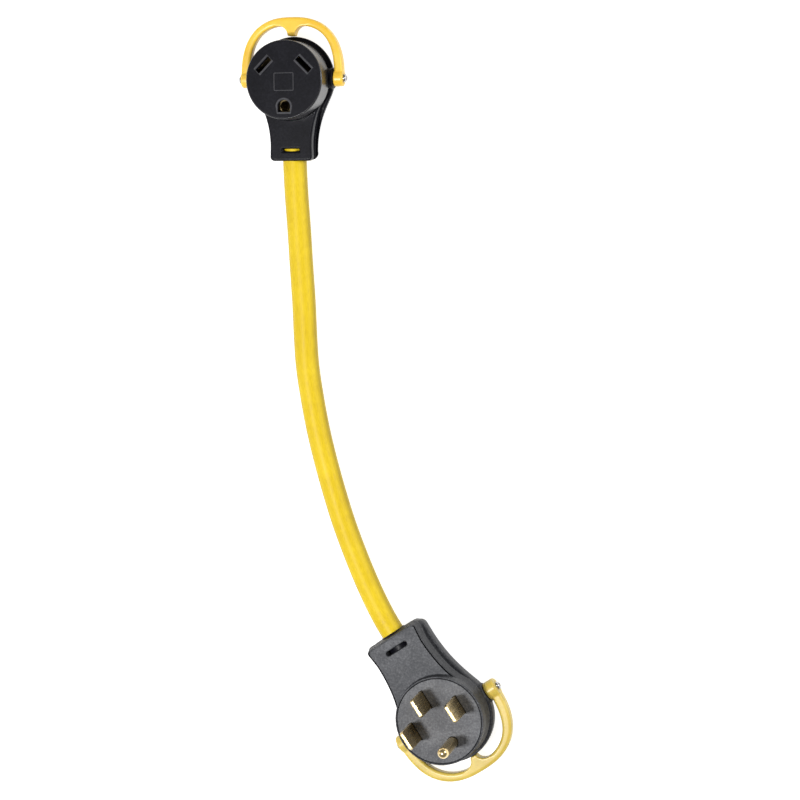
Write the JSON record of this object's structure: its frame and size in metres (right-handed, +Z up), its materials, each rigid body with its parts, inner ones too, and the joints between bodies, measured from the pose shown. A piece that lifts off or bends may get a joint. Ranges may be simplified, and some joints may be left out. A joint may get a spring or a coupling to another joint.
{
  "type": "dogbone power adapter",
  "caption": "Short heavy power adapter: an angled flat-blade male plug and an angled female connector, each with a swinging pull handle, joined by a round cable.",
  "frame": {"origin": "centre of the footprint of the two heads and their handles, on the table that the adapter lies on", "axes": "+Z up, out of the socket face and along the blades; +Y from the male plug towards the female connector; +X to the right as seen from above"},
  "size_m": [0.1774, 0.4936, 0.0626],
  "materials": {
    "grip_black": "moulded rubber, fine satin grain",
    "grip_charcoal": "moulded charcoal rubber, fine matte grain",
    "handle_yellow": "satin moulded yellow plastic",
    "cable_yellow": "extruded yellow jacket, low sheen",
    "brass": "plain machined brass",
    "bright_steel": "bright nickel plate",
    "core_black": "black wire insulation",
    "core_white": "white wire insulation",
    "core_green": "green wire insulation"
  },
  "bodies": {
    "adapter": {"female_grip_body": "grip_black", "female_contact_housing": "grip_black", "female_hot_contact": "brass", "female_neutral_contact": "brass", "female_ground_contact": "brass", "female_pivot_screw_right": "bright_steel", "female_pivot_screw_left": "bright_steel", "female_threaded_insert_right": "brass", "female_threaded_insert_left": "brass", "male_grip_body": "grip_charcoal", "male_blade_carrier": "grip_charcoal", "male_strain_relief": "grip_black", "male_hot_blade_x": "brass", "male_hot_blade_y": "brass", "male_neutral_blade": "brass", "male_ground_pin": "brass", "male_pivot_screw_right": "bright_steel", "male_pivot_screw_left": "bright_steel", "male_threaded_insert_right": "brass", "male_threaded_insert_left": "brass", "cable_jacket": "cable_yellow", "cable_hot_core": "core_black", "cable_neutral_core": "core_white", "cable_ground_core": "core_green"},
    "female_pull_handle": {"female_handle": "handle_yellow"},
    "male_pull_handle": {"male_handle": "handle_yellow"}
  },
  "joints": [
    {"name": "female_handle_hinge", "type": "hinge", "parent": "adapter", "child": "female_pull_handle", "pos_m": [-0.053, 0.2075, 0.0119], "axis": [-1, 0, 0], "range_deg": [-18, 105]},
    {"name": "male_handle_hinge", "type": "hinge", "parent": "adapter", "child": "male_pull_handle", "pos_m": [0.0463, -0.2036, 0.0094], "axis": [0.8339, 0.5519, 0], "range_deg": [-18, 105]}
  ]
}
